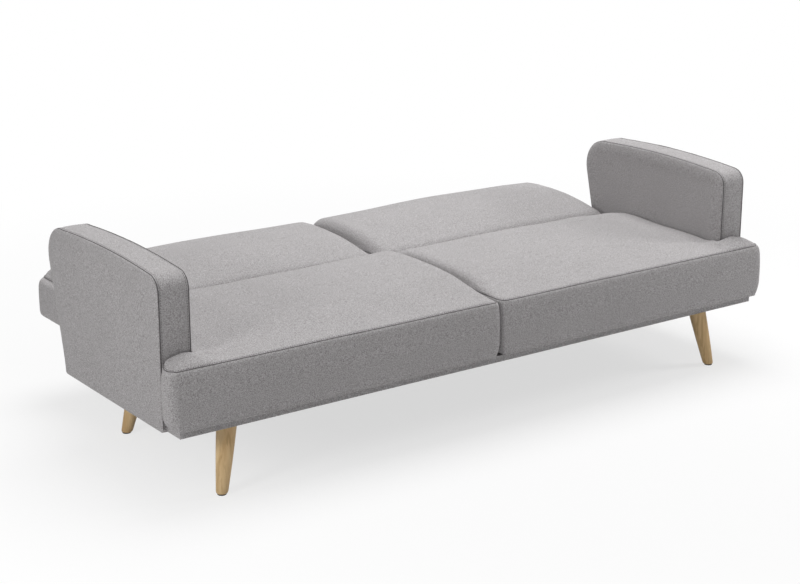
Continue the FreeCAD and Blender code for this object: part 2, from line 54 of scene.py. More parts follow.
STITCH_LENGTH = 0.0046
STITCH_RADIUS = 0.00065
STITCH_WIDTH = 1.3           # in radii
STITCH_LIFT = 0.35           # height of a stitch's middle over the cloth, in radii


# Small helpers

def smooth(a, b, t):
    """0 below a, 1 above b and a smooth step between them."""
    t = min(max((t - a) / (b - a), 0.0), 1.0)
    return t * t * (3 - 2 * t)


def along(points, t):
    """Value at t of a smooth line through (t, value) points."""
    for (t0, v0), (t1, v1) in zip(points, points[1:]):
        if t <= t1:
            return v0 + (v1 - v0) * smooth(t0, t1, t)
    return points[-1][1]


def straight(points, t):
    """Value at t of straight runs through (t, value) points."""
    for (t0, v0), (t1, v1) in zip(points, points[1:]):
        if t <= t1:
            return v0 + (v1 - v0) * max(t - t0, 0.0) / (t1 - t0)
    return points[-1][1]


def sway(x, y, z, size, seed):
    """Slow unevenness from -1 to 1 with features of the given size."""
    return noise.noise(Vector((x / size + seed, y / size - seed, z / size)))


def add_object(name, data):
    """A new object in the scene."""
    obj = bpy.data.objects.new(name, data)
    bpy.context.scene.collection.objects.link(obj)
    return obj


def make(name, bm, body, level=0):
    """An object from bm, subdivided, closed, smooth but for its caps, riding on a body."""
    bmesh.ops.recalc_face_normals(bm, faces=bm.faces)
    mesh = bpy.data.meshes.new(name)
    bm.to_mesh(mesh)
    bm.free()
    obj = add_object(name, mesh)
    if level:
        mod = obj.modifiers.new("smooth", "SUBSURF")
        mod.levels = mod.render_levels = level
        bake(obj)
    close(obj)
    for poly in obj.data.polygons:
        poly.use_smooth = len(poly.vertices) <= 4
    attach(obj, body)
    return obj


def bake(obj):
    """Applies the object's modifiers to its mesh."""
    graph = bpy.context.evaluated_depsgraph_get()
    made = bpy.data.meshes.new_from_object(obj.evaluated_get(graph))
    obj.modifiers.clear()
    old = obj.data
    obj.data = made
    bpy.data.meshes.remove(old)


def close(obj):
    """Fills the object's open loops."""
    bm = bmesh.new()
    bm.from_mesh(obj.data)
    bmesh.ops.holes_fill(bm, edges=[e for e in bm.edges if e.is_boundary], sides=0)
    bm.to_mesh(obj.data)
    bm.free()


def cut_prism(obj, outline, x0, x1):
    """Cuts a slot with the given outline in Y and Z out of the object, from x0 to x1."""
    bm = bmesh.new()
    face = bm.faces.new([bm.verts.new((x0, y, z)) for y, z in outline])
    made = bmesh.ops.extrude_face_region(bm, geom=[face])["geom"]
    bmesh.ops.translate(bm, vec=(x1 - x0, 0, 0),
                        verts=[v for v in made if isinstance(v, bmesh.types.BMVert)])
    bmesh.ops.recalc_face_normals(bm, faces=bm.faces)
    mesh = bpy.data.meshes.new("cutter")
    bm.to_mesh(mesh)
    bm.free()
    cutter = add_object("cutter", mesh)
    mod = obj.modifiers.new("cut", "BOOLEAN")
    mod.operation = "DIFFERENCE"
    mod.solver = "EXACT"
    mod.object = cutter
    bake(obj)
    bpy.data.objects.remove(cutter)
    bpy.data.meshes.remove(mesh)


def cut_hinge_room(obj, side, outlines):
    """Room for the outer and the inner hinge; each outline has its own width."""
    for outline, x0, x1 in outlines:
        for a, b in ((x0, x1), (2 * HALF_MID - x1, 2 * HALF_MID - x0)):
            cut_prism(obj, outline, *sorted((SIGN[side] * a, SIGN[side] * b)))
    obj.data.set_sharp_from_angle(angle=SHARP)


def rim_path(bm):
    """The open edge's points in order round the piece."""
    edge = next(e for e in bm.edges if e.is_boundary)
    start, v = edge.verts
    path = [start.co.copy()]
    while v is not start:
        path.append(v.co.copy())
        edge = next(e for e in v.link_edges if e.is_boundary and e is not edge)
        v = edge.other_vert(v)
    return path


def drawn_in(path, distance):
    """A closed path moved inwards in the plan."""
    area = sum(a.x * b.y - b.x * a.y for a, b in zip(path, path[1:] + path[:1]))
    sign = 1 if area > 0 else -1
    out = []
    for i, p in enumerate(path):
        run = path[(i + 1) % len(path)] - path[i - 1]
        out.append(p + Vector((-run.y, run.x, 0)).normalized() * sign * distance)
    return out


def mirrored(path, side):
    """The right-hand piece's points on the given side."""
    return [Vector((SIGN[side] * p.x, p.y, p.z)) for p in path]


def on_side(bm, side):
    """Moves a piece drawn on the right to the given side."""
    bmesh.ops.scale(bm, vec=(SIGN[side], 1, 1), verts=bm.verts)


def surface_tree(obj):
    """The object's faces, ready for finding the nearest point on them."""
    return BVHTree.FromPolygons([v.co for v in obj.data.vertices],
                                [p.vertices for p in obj.data.polygons])


def stitch_row(name, surface, points, body, colour, closed=False):
    """Short raised stitches along a path of points, laid on the surface."""
    tree = surface_tree(surface)
    if closed:
        points = points + points[:1]
    bm = bmesh.new()
    carry = 0.0
    for a, b in zip(points, points[1:]):
        run = (b - a).length
        while carry < run:
            spot, normal, _, _ = tree.find_nearest(a.lerp(b, carry / run))
            carry += STITCH_PITCH
            line = (b - a).normalized()
            line = (line - normal * line.dot(normal)).normalized()
            place = Matrix((line, normal.cross(line), normal)).transposed().to_4x4()
            place.translation = spot + normal * STITCH_RADIUS * STITCH_LIFT
            made = bmesh.ops.create_icosphere(bm, subdivisions=1, radius=1.0, matrix=place)
            for v in made["verts"]:
                local = place.inverted() @ v.co
                local.x *= STITCH_LENGTH / 2
                local.y *= STITCH_RADIUS * STITCH_WIDTH
                local.z *= STITCH_RADIUS
                v.co = place @ local
        carry -= run
    make(name, bm, body).data.materials.append(colour)


def seam_shade_line(name, surface, points, body, colour, closed=False, lift=SEAM_SHADE_LIFT):
    """The thin dark line of a seam: a dark tube lying in its groove, painted shade of the groove.
    """
    tree = surface_tree(surface)
    curve = bpy.data.curves.new(name, "CURVE")
    curve.dimensions = "3D"
    curve.bevel_depth = SEAM_SHADE_RADIUS
    curve.bevel_resolution = 1
    curve.use_fill_caps = True
    spline = curve.splines.new("POLY")
    spline.points.add(len(points) - 1)
    for point, p in zip(spline.points, points):
        spot, normal, _, _ = tree.find_nearest(p)
        point.co = (spot + normal * SEAM_SHADE_RADIUS * lift).to_4d()
    spline.use_cyclic_u = closed
    holder = add_object(name + "_curve", curve)
    graph = bpy.context.evaluated_depsgraph_get()
    mesh = bpy.data.meshes.new_from_object(holder.evaluated_get(graph))
    bm = bmesh.new()
    bm.from_mesh(mesh)
    bpy.data.objects.remove(holder)
    bpy.data.curves.remove(curve)
    make(name, bm, body).data.materials.append(colour)


# Materials

def nodes_of(name):
    """A new material with its node tree and its one shader."""
    mat = bpy.data.materials.new(name)
    mat.use_nodes = True
    tree = mat.node_tree
    tree.nodes.clear()
    out = tree.nodes.new("ShaderNodeOutputMaterial")
    shader = tree.nodes.new("ShaderNodeBsdfPrincipled")
    tree.links.new(shader.outputs["BSDF"], out.inputs["Surface"])
    return mat, tree, shader


def linear(*srgb):
    """Linear colour from sRGB values of 0 to 255."""
    part = [c / 255 for c in srgb]
    return [c / 12.92 if c <= 0.04045 else ((c + 0.055) / 1.055) ** 2.4 for c in part] + [1.0]


def node(tree, kind, **values):
    """A node with its properties and unlinked inputs set by name."""
    made = tree.nodes.new(kind)
    for key, value in values.items():
        if hasattr(made, key):
            setattr(made, key, value)
        else:
            made.inputs[key.replace("_", " ")].default_value = value
    return made


def object_coords(tree, scale=(1, 1, 1), shift=(0, 0, 0)):
    """Places in the object's own frame, scaled and shifted."""
    place = node(tree, "ShaderNodeTexCoord")
    mapping = node(tree, "ShaderNodeMapping")
    mapping.inputs["Scale"].default_value = scale
    mapping.inputs["Location"].default_value = shift
    tree.links.new(place.outputs["Object"], mapping.inputs["Vector"])
    return mapping.outputs["Vector"]


def noise_at(tree, vector, scale, detail=2.0, rough=0.5):
    """Noise with scale features to the metre."""
    made = node(tree, "ShaderNodeTexNoise", Scale=scale, Detail=detail, Roughness=rough)
    tree.links.new(vector, made.inputs["Vector"])
    return made.outputs["Fac"]


def ramp(tree, source, low, high, start=0.3, end=0.7):
    """Colour low up to start, colour high from end on, and a blend between them."""
    made = node(tree, "ShaderNodeValToRGB")
    made.color_ramp.elements[0].position = start
    made.color_ramp.elements[0].color = low
    made.color_ramp.elements[1].position = end
    made.color_ramp.elements[1].color = high
    tree.links.new(source, made.inputs["Fac"])
    return made.outputs["Color"]


def multiply(tree, a, b, factor=1.0):
    """Colour a darkened by colour b."""
    made = node(tree, "ShaderNodeMix", data_type="RGBA", blend_type="MULTIPLY")
    made.inputs["Factor"].default_value = factor
    tree.links.new(a, made.inputs[6])
    tree.links.new(b, made.inputs[7])
    return made.outputs[2]


def math_node(tree, operation, a, b):
    """A sum on two values or node outputs."""
    made = node(tree, "ShaderNodeMath", operation=operation)
    for i, value in enumerate((a, b)):
        if isinstance(value, (int, float)):
            made.inputs[i].default_value = value
        else:
            tree.links.new(value, made.inputs[i])
    return made.outputs["Value"]


def bump(tree, shader, layers):
    """Chained bumps; each layer is (height output, strength, distance)."""
    last = None
    for height, strength, distance in layers:
        made = node(tree, "ShaderNodeBump", Strength=strength, Distance=distance)
        tree.links.new(height, made.inputs["Height"])
        if last:
            tree.links.new(last, made.inputs["Normal"])
        last = made.outputs["Normal"]
    tree.links.new(last, shader.inputs["Normal"])


def weave_height(tree, vector, pitch):
    """Plain weave on whichever of the three planes the surface faces."""
    split = node(tree, "ShaderNodeSeparateXYZ")
    tree.links.new(vector, split.inputs[0])
    waves = [math_node(tree, "SINE", math_node(tree, "MULTIPLY", split.outputs[k],
                                               math.tau / pitch), 0) for k in range(3)]
    place = node(tree, "ShaderNodeTexCoord")
    facing = node(tree, "ShaderNodeSeparateXYZ")
    tree.links.new(place.outputs["Normal"], facing.inputs[0])
    total = None
    for k in range(3):
        grid = math_node(tree, "MULTIPLY", waves[(k + 1) % 3], waves[(k + 2) % 3])
        share = math_node(tree, "POWER", math_node(tree, "ABSOLUTE", facing.outputs[k], 0), 4)
        part = math_node(tree, "MULTIPLY", grid, share)
        total = part if total is None else math_node(tree, "ADD", total, part)
    return total


def fabric(name, low, high, pitch=0.0022):
    """Heathered weave: yarns of two greys, slubs, soft mottling and a little fuzz."""
    mat, tree, shader = nodes_of(name)
    vector = object_coords(tree)
    heather = ramp(tree, noise_at(tree, vector, 380, 3, 0.8), low, high, 0.36, 0.64)
    blotch = ramp(tree, noise_at(tree, vector, 150, 2), (0.955, 0.955, 0.955, 1), (1, 1, 1, 1))
    cloud = ramp(tree, noise_at(tree, vector, 7, 2), (0.965, 0.965, 0.965, 1), (1, 1, 1, 1))
    colour = multiply(tree, multiply(tree, heather, blotch), cloud)
    tree.links.new(colour, shader.inputs["Base Color"])
    shader.inputs["Roughness"].default_value = 0.93
    shader.inputs["Specular IOR Level"].default_value = 0.18
    shader.inputs["Sheen Weight"].default_value = 0.12
    shader.inputs["Sheen Roughness"].default_value = 0.45
    bump(tree, shader, [(noise_at(tree, vector, 280, 3, 0.7), 0.8, 0.0013),
                        (weave_height(tree, vector, pitch), 0.35, 0.0004)])
    return mat


def thread(name, colour):
    """Sewing thread with a fine twist."""
    mat, tree, shader = nodes_of(name)
    vector = object_coords(tree)
    tint = ramp(tree, noise_at(tree, vector, 900, 1), [0.7 * c for c in colour[:3]] + [1], colour)
    tree.links.new(tint, shader.inputs["Base Color"])
    shader.inputs["Roughness"].default_value = 0.7
    bump(tree, shader, [(noise_at(tree, vector, 1500, 1), 0.3, 0.0002)])
    return mat


def wood(name, pale, dark, scale, streaks=0.5):
    """Straight grain along the piece's long axis, with pores and darker streaks."""
    mat, tree, shader = nodes_of(name)
    fine = object_coords(tree, scale)
    grain = noise_at(tree, fine, 34, 5, 0.62)
    base = ramp(tree, grain, dark, pale, 0.30, 0.62)
    band = ramp(tree, noise_at(tree, fine, 9, 2, 0.5), (0.80, 0.76, 0.70, 1), (1, 1, 1, 1),
                0.36, 0.56)
    pores = ramp(tree, noise_at(tree, fine, 120, 2, 0.6), (0.70, 0.64, 0.56, 1), (1, 1, 1, 1),
                 0.34, 0.46)
    colour = multiply(tree, multiply(tree, base, band, streaks), pores, 0.6)
    tree.links.new(colour, shader.inputs["Base Color"])
    rough = node(tree, "ShaderNodeMapRange", To_Min=0.42, To_Max=0.6)
    tree.links.new(grain, rough.inputs["Value"])
    tree.links.new(rough.outputs["Result"], shader.inputs["Roughness"])
    shader.inputs["Specular IOR Level"].default_value = 0.35
    bump(tree, shader, [(grain, 0.25, 0.0006), (noise_at(tree, fine, 120, 2), 0.2, 0.0003)])
    return mat


def metal(name, colour, rough, metallic=1.0):
    """Worn metal, or a dull coat on it where metallic is 0."""
    mat, tree, shader = nodes_of(name)
    vector = object_coords(tree)
    tint = ramp(tree, noise_at(tree, vector, 60, 3), [0.8 * c for c in colour[:3]] + [1], colour)
    tree.links.new(tint, shader.inputs["Base Color"])
    shader.inputs["Metallic"].default_value = metallic
    span = node(tree, "ShaderNodeMapRange", To_Min=rough - 0.08, To_Max=rough + 0.1)
    tree.links.new(noise_at(tree, vector, 140, 3), span.inputs["Value"])
    tree.links.new(span.outputs["Result"], shader.inputs["Roughness"])
    bump(tree, shader, [(noise_at(tree, vector, 700, 2), 0.15, 0.0002)])
    return mat


cloth = fabric("heathered_cloth", linear(138, 133, 133), linear(206, 204, 205))
cloth_thread = thread("topstitch_thread", linear(112, 108, 109))
# thread-like colour for the dark tubes in the seams' grooves, painted shade of the grooves
seam_shade = thread("seam_shade", linear(98, 94, 95))
dark_cloth = fabric("dust_cloth", linear(30, 30, 31), linear(52, 52, 53), 0.0016)
webbing = fabric("elastic_webbing", linear(70, 62, 52), linear(120, 108, 90), 0.003)
oak = wood("light_oak", linear(238, 208, 160), linear(202, 165, 114), (1, 1, 0.07), 0.7)
raw_wood = wood("raw_pine", linear(205, 178, 135), linear(176, 142, 98), (0.08, 1, 1))
steel = metal("zinc_steel", linear(170, 170, 172), 0.35)
black_steel = metal("black_coat", linear(34, 34, 36), 0.45, 0.0)
plastic = metal("glide_plastic", linear(38, 38, 38), 0.6, 0.0)
brass = metal("brass_insert", linear(190, 160, 96), 0.35)


# Cushions

SEAT_LOW, SEAT_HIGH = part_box("right_seat_cushion")
ARM_LOW, ARM_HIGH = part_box("right_arm_cover")
BACK_LOW, BACK_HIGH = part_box("right_back_cushion")
HALF_MID = 0.454             # middle of the right half, between its two hinges
SEAT_SEAM = SEAT_LOW[2] + 0.161
BACK_SEAM = BACK_LOW[2] + 0.121
SEAT_BULGE = 0.012           # reach of the seat's front wall past its seam
TIGHT_REACH = 0.004          # reach of a wall that another piece leaves little room
RIM_BAND = 0.003             # width of the faces along a seam
SEAM_SHADE_INSET = 0.0010          # from the rim to the seam's tube of painted shade
STITCH_INSET = 0.0062        # from the rim to the topstitching
COVER_LIP = 0.0006           # how far a back's cover stands proud of its board

# A rise or a profile is a row of (share of the way, share of the full height or reach), and
# heights are rows of (share of the way, height)
SEAT_RISE = ((0, 0), (0.06, 0.10), (0.15, 0.34), (0.25, 0.62), (0.34, 0.84), (0.45, 0.95),
             (0.60, 1.0), (0.72, 1.0), (0.82, 0.97), (0.91, 0.84), (0.965, 0.55), (1.0, -0.1))
BACK_RISE = ((0, 0.0), (0.03, 0.14), (0.08, 0.34), (0.16, 0.52), (0.28, 0.74), (0.42, 0.92),
             (0.58, 1.0), (0.74, 1.0), (0.86, 0.92), (0.94, 0.72), (0.98, 0.35), (1.0, 0.0))
SEAT_HEIGHTS = ((0.45, 0.041), (0.72, 0.036), (0.9, 0.021), (1, 0.009))
EAR_HEIGHTS = ((-0.5, 0.024), (0.0, 0.024), (0.25, 0.022), (0.5, 0.019), (0.75, 0.015),
               (0.9, 0.010), (0.97, 0.005), (1, 0.0))
BACK_HEIGHTS = {
    "right": ((0, 0.046), (0.5, 0.059), (0.8, 0.055), (1, 0.048)),
    "left": ((0, 0.046), (0.5, 0.052), (0.8, 0.043), (1, 0.036)),
}
REAR_RISE = 0.008            # extra height at the seat's rear corner by the arm
NEAR_DROP = 0.025            # fall of the back's crown at its hinged edge
END_WIDTH = 0.034            # width over which a crown falls to its end seam

# Start of the seat's inner end, its bulge, its corner radius and the crown's height there
SEAT_ENDS = {"right": (0.0085, 0.0065, 0.019, 0.036), "left": (0.0035, 0.0058, 0.013, 0.047)}


def end_share(gap):
    """Share of the crown at a distance from the cushion's end."""
    return 1 - (1 - min(max(gap / END_WIDTH, 0), 1)) ** 2.4


def seat_crown(x, y, front, rear, inner, end_height):
    """Height of the right seat cushion's top over its seam."""
    t = (y - front) / (rear - front)
    s = (x - inner) / (ARM_LOW[0] - inner)
    height = along(((0, end_height),) + SEAT_HEIGHTS, s)
    height += REAR_RISE * smooth(0.55, 0.9, s) * smooth(0.55, 0.9, t)
    main = height * straight(SEAT_RISE, t) * end_share(x - inner)
    depth = min(max((y - front) / (ARM_LOW[1] - front), 0), 1)
    ear = straight(EAR_HEIGHTS, (x - ARM_LOW[0]) / (SEAT_HIGH[0] - SEAT_BULGE - ARM_LOW[0]))
    ear *= math.sin(depth * math.pi * 0.54) ** 0.8
    share = smooth(ARM_LOW[0] - 0.06, ARM_LOW[0] + 0.02, x)
    share *= 1 - smooth(ARM_LOW[1] - 0.005, ARM_LOW[1] + 0.055, y)
    return main * (1 - share) + ear * share


def seat_folds(x, y, seed):
    """Pull of the cloth at the arm's inner front corner, and slow unevenness."""
    dx, dy = x - ARM_LOW[0] + 0.004, y - ARM_LOW[1] - 0.004
    far = math.hypot(dx, dy)
    turn = math.atan2(dy, dx)
    pull = -0.005 * math.exp(-(far / 0.022) ** 2)
    ray = 0.0042 * math.cos(7.5 * turn + seed) * math.exp(-((far - 0.030) / 0.026) ** 2)
    return pull + ray + 0.0013 * sway(x, y, 0, 0.19, seed) + 0.0005 * sway(x, y, 0, 0.06, seed)


def back_crown(x, y, near, far, inner, outer, heights):
    """Height of a back cushion's top over its seam, lying flat."""
    t = (y - near) / (far - near)
    height = along(heights, (x - inner) / (outer - inner))
    crown = height * straight(BACK_RISE, t) * end_share(min(x - inner, outer - x))
    return crown - NEAR_DROP * (1 - smooth(0.0, 0.09, t))


SIDE_PROFILE = ((0, 0), (0.03, 0.26), (0.09, 0.50), (0.22, 0.78), (0.42, 0.97), (0.60, 1.0),
                (0.80, 1.0), (0.90, 0.93), (0.94, 0.82), (0.957, 0.66), (0.966, 0.80),
                (0.985, 0.74), (1, -0.75))
SEAT_END = ((0, 0), (0.03, 0.45), (0.08, 0.74), (0.18, 0.94), (0.34, 1.0), (0.76, 1.0),
            (0.83, 0.80), (0.89, 0.35), (0.945, -0.30), (1, -1.5))
BACK_END = ((0, 0), (0.03, 0.50), (0.08, 0.80), (0.18, 0.97), (0.30, 1.0), (0.84, 1.0),
            (0.91, 0.86), (0.96, 0.45), (1, -0.2))


def wall_profile(w, end, end_profile):
    """Outward reach of a side wall from its seam, w=0, to its base, w=1; end=1 at an end."""
    side = straight(SIDE_PROFILE, w)
    return side + (straight(end_profile, w) - side) * end


WALL_ROWS = (0.018, 0.045, 0.09, 0.16, 0.25, 0.35, 0.45, 0.55, 0.65, 0.74, 0.82, 0.88, 0.92,
             0.945, 0.957, 0.966, 0.975, 0.985, 1.0)


def plan_grid(bm, xs, ys):
    """A flat grid whose lines fall on the given x and y values."""
    made = bmesh.ops.create_grid(bm, x_segments=len(xs) - 1, y_segments=len(ys) - 1, size=1)
    for v in made["verts"]:
        i = round((v.co.x + 1) / 2 * (len(xs) - 1))
        j = round((v.co.y + 1) / 2 * (len(ys) - 1))
        v.co = (xs[i], ys[j], 0)


def steps(*stops):
    """Values from stop to stop, about a cell apart, that include every stop."""
    out = [stops[0]]
    for a, b in zip(stops, stops[1:]):
        count = max(2, round(abs(b - a) / CELL))
        out += [a + (b - a) * i / count for i in range(1, count + 1)]
    return out


def round_corner(p, corner, sx, sy, radius):
    """Moves a plan point near a square corner so that the corner becomes round."""
    a = 1 - (corner[0] - p.x) * sx / radius
    b = 1 - (corner[1] - p.y) * sy / radius
    if a <= 0 or b <= 0:
        return
    centre = (corner[0] - sx * radius, corner[1] - sy * radius)
    u, v = a * math.sqrt(1 - b * b / 2), b * math.sqrt(1 - a * a / 2)
    p.x = centre[0] + sx * u * radius
    p.y = centre[1] + sy * v * radius


def skin(bm, edges, rings, mark):
    """Extrudes a closed loop of marked points through rings of places, by mark."""
    for ring in rings:
        made = bmesh.ops.extrude_edge_only(bm, edges=edges)["geom"]
        for v in made:
            if isinstance(v, bmesh.types.BMVert):
                v.co = ring[v[mark]]
        edges = [e for e in made if isinstance(e, bmesh.types.BMEdge) and e.is_boundary]


def loft(rings):
    """A tube through rings of places that all have the same number of points."""
    bm = bmesh.new()
    mark = bm.verts.layers.int.new("mark")
    start = bmesh.ops.create_circle(bm, segments=len(rings[0]), radius=1)["verts"]
    for i, v in enumerate(start):
        v[mark] = i
        v.co = rings[0][i]
    skin(bm, list(bm.edges), rings[1:], mark)
    return bm


def board_rings(plan, board, base):
    """A mouth in the base, with its roof just over the board that closes it."""
    low = [min(row[0][i] for row in plan) for i in (0, 1)]
    high = [max(row[0][i] for row in plan) for i in (0, 1)]
    rings = []
    for margin, rise in ((0.0050, 0.0), (0.0012, 0.0), (0.0008, 0.0010), (0.0008, 0.0045)):
        ring = []
        for row in plan:
            place = [board[0][i] - margin + (row[0][i] - low[i]) / (high[i] - low[i])
                     * (board[1][i] - board[0][i] + 2 * margin) for i in (0, 1)]
            ring.append(Vector(place + [base + rise]))
        rings.append(ring)
    return rings


def hang_walls(bm, seam, base, reach, end_profile, taper, board):
    """Side walls below the plan's edge.

    For a point of the edge, reach gives how far the wall bulges out and taper how far its
    foot draws in. A board, given as its box, closes the base from inside a mouth.
    """
    mark = bm.verts.layers.int.new("mark")
    rim = [e for e in bm.edges if e.is_boundary]
    outward = {}
    for e in rim:
        side = (e.verts[1].co - e.verts[0].co).xy
        out = Vector((side.y, -side.x, 0)).normalized()
        if out.dot(e.verts[0].co - e.link_faces[0].calc_center_median()) < 0:
            out = -out
        for v in e.verts:
            outward[v] = outward.get(v, Vector()) + out
    for i, v in enumerate(outward):
        v[mark] = i
    plan = [(v.co.copy(), out.normalized(), reach(v.co), taper(v.co))
            for v, out in outward.items()]
    for v, out in outward.items():
        v.co -= out.normalized() * SEAM_DEPTH
    rings = []
    for w in WALL_ROWS:
        z = seam + (base - seam) * w
        ring = []
        for p, out, far, drawn in plan:
            far = far * wall_profile(w, smooth(0.35, 0.95, abs(out.x)), end_profile)
            ring.append((p + out * (far - drawn * w)).xy.to_3d() + Vector((0, 0, z)))
        rings.append(ring)
    if board:
        rings += board_rings(plan, board, base)
    skin(bm, rim, rings, mark)


# Room for the hinge plates: outlines in Y and Z, each with its reach in X
SEAT_ROOM = (
    (((-0.136, 0.190), (0.050, 0.190), (0.050, 0.260), (-0.136, 0.260)), 0.8880, 0.8960),
    (((-0.008, 0.190), (0.050, 0.190), (0.050, 0.352), (-0.008, 0.352)), 0.8806, 0.8960),
)
BACK_ROOM = (
    (((0.040, 0.220), (0.231, 0.220), (0.231, 0.293), (0.102, 0.293), (0.073, 0.322),
      (0.073, 0.350), (0.066, 0.358), (0.040, 0.358)), 0.8806, 0.8960),
)


def lay_top(bm, corners, height):
    """Rounds the plan's corners and lifts it to height(x, y), its rim sunk into the seam."""
    for v in bm.verts:
        for corner in corners:
            round_corner(v.co, *corner)
    bmesh.ops.inset_region(bm, faces=bm.faces, thickness=RIM_BAND, use_even_offset=True)
    rim = {v for e in bm.edges if e.is_boundary for v in e.verts}
    for v in bm.verts:
        v.co.z = height(v.co.x, v.co.y) - (SEAM_DEPTH if v in rim else 0)


def sew(side, kind, body, bm, walls, room):
    """Makes a cushion's cover from its top: walls, hinge room, seam with its tube of painted
    shade, and topstitching.
    """
    rim = rim_path(bm)
    stitches = mirrored(drawn_in(rim, STITCH_INSET), side)
    seam = mirrored(drawn_in(rim, SEAM_SHADE_INSET), side)
    hang_walls(bm, *walls)
    on_side(bm, side)
    name = side + "_" + kind
    obj = make(name + "_cushion_cover", bm, body, 1)
    cut_hinge_room(obj, side, room)
    stitch_row(name + "_stitches", obj, stitches, body, cloth_thread, closed=True)
    # dark tube along the seam: painted shade of its groove
    seam_shade_line(name + "_seam", obj, seam, body, seam_shade, closed=True)
    obj.data.materials.append(cloth)
    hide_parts(name + "_cushion")


def seat_cushion(side, seed):
    """Seat cushion with an ear that runs on in front of the arm."""
    inner, end_bulge, end_radius, end_height = SEAT_ENDS[side]
    front = SEAT_LOW[1] + SEAT_BULGE
    rear = SEAT_HIGH[1] - TIGHT_REACH
    arm_x, arm_y = ARM_LOW[0] - 0.0008, ARM_LOW[1] - 0.0008
    outer = SEAT_HIGH[0] - SEAT_BULGE
    corners = (((inner, front), -1, -1, end_radius), ((outer, front), 1, -1, 0.022),
               ((outer, arm_y), 1, 1, 0.036), ((inner, rear), -1, 1, 0.022),
               ((arm_x, rear), 1, 1, 0.018))

    def beside_arm(p):
        return smooth(-0.050, -0.012, p.y - arm_y) * smooth(-0.04, -0.012, p.x - outer)

    def reach(p):
        if p.y > arm_y - 0.004 and p.x > arm_x - 0.004:
            return 0.0
        if p.x > arm_x - 0.004 and p.y > arm_y - 0.03:
            return TIGHT_REACH
        if p.y > rear - 0.02:
            return TIGHT_REACH
        if p.x < inner + 0.02:
            return SEAT_BULGE + (end_bulge - SEAT_BULGE) * smooth(0.0, 0.016, p.y - front)
        return (SEAT_BULGE + 0.004 * smooth(-0.03, 0.0, p.x - outer)) * (1 - 0.8 * beside_arm(p))

    def taper(p):
        return 0.012 * beside_arm(p)

    def height(x, y):
        crown = seat_crown(x, y, front, rear, inner, end_height)
        return SEAT_SEAM + crown + seat_folds(x, y, seed)

    bm = bmesh.new()
    plan_grid(bm, steps(inner, arm_x, outer), steps(front, arm_y, rear))
    gone = [f for f in bm.faces if f.calc_center_median().x > arm_x
            and f.calc_center_median().y > arm_y]
    bmesh.ops.delete(bm, geom=gone, context="FACES")
    lay_top(bm, corners, height)
    walls = (SEAT_SEAM - SEAM_DEPTH, SEAT_LOW[2], reach, SEAT_END, taper, None)
    sew(side, "seat", "base", bm, walls, SEAT_ROOM)


def back_cushion(side, seed):
    """Flat back cushion over its frame, closed underneath by the cover board."""
    inner, outer = BACK_LOW[0] + 0.009, BACK_HIGH[0] - 0.009
    near, far = BACK_LOW[1] + 0.003, BACK_HIGH[1] - 0.013
    corners = (((inner, near), -1, -1, 0.014), ((outer, near), 1, -1, 0.014),
               ((outer, far), 1, 1, 0.024), ((inner, far), -1, 1, 0.028))

    def reach(p):
        if p.y < near + 0.012:
            return 0.0025
        if p.y > far - 0.012:
            return 0.013
        if p.x > outer - 0.012:
            return 0.0085 + 0.010 * smooth(0.27, 0.36, p.y)
        return 0.0085

    def height(x, y):
        crown = back_crown(x, y, near, far, inner, outer, BACK_HEIGHTS[side])
        return BACK_SEAM + crown + 0.0014 * sway(x, y, 0, 0.2, seed)

    bm = bmesh.new()
    plan_grid(bm, steps(inner, outer), steps(near, far))
    lay_top(bm, corners, height)
    walls = (BACK_SEAM - SEAM_DEPTH, BACK_LOW[2] - COVER_LIP, reach, BACK_END, lambda p: 0.0,
             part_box("right_back_panel"))
    sew(side, "back", side + "_back", bm, walls, BACK_ROOM)


seat_cushion("right", 3.1)
seat_cushion("left", 8.7)
back_cushion("right", 5.3)
back_cushion("left", 1.9)


# Arms

ARM_COUNT = 200              # points round the arm
ARM_LEAN = math.tan(math.radians(13.4))
ARM_BOTTOM = 0.544           # length of the arm along its underside
ARM_FRONT = 0.3935           # height of the front top corner over the underside
TOP_STEPS = 40
ARM_CROWN = 0.066            # four times the bulge of the top line
FRONT_RADIUS, REAR_RADIUS = 0.036, 0.096
PANEL_INSET = 0.030          # rim of a panel, in from the outline
INNER_SWELL = 0.0006         # swell of the panel beside the seat
SEAM_SHADE_RAISE = 1.1             # lift of the arm's tubes of painted seam shade, in radii

# From one face inwards: (depth from the face, inset from the outline), then the panel's
# own rings: (depth, share of the rim's size)
EDGE_RINGS = ((0.0456, -0.0022), (0.030, -0.0019), (0.018, -0.0012), (0.0115, -0.0006),
              (0.0076, -0.0001), (0.0056, 0.0006), (0.0046, 0.0020), (0.0037, 0.0010),
              (0.0027, 0.0010), (0.0013, 0.0019), (0.0002, 0.0040), (-0.0009, 0.0080),
              (-0.0018, 0.0130), (-0.0026, 0.0200), (-0.0032, 0.0300))
SEAM_RING = 6
PANEL_RINGS = ((-0.0036, 0.90), (-0.0040, 0.78), (-0.0043, 0.62), (-0.0044, 0.42),
               (-0.0044, 0.20), (-0.0044, 0.02))


def fillet(before, corner, after, radius):
    """Points of a rounded corner."""
    a = corner + (before - corner).normalized() * radius
    b = corner + (after - corner).normalized() * radius
    return [p.xy for p in interpolate_bezier(a.to_3d(), a.lerp(corner, 0.55).to_3d(),
                                             b.lerp(corner, 0.55).to_3d(), b.to_3d(), 24)]


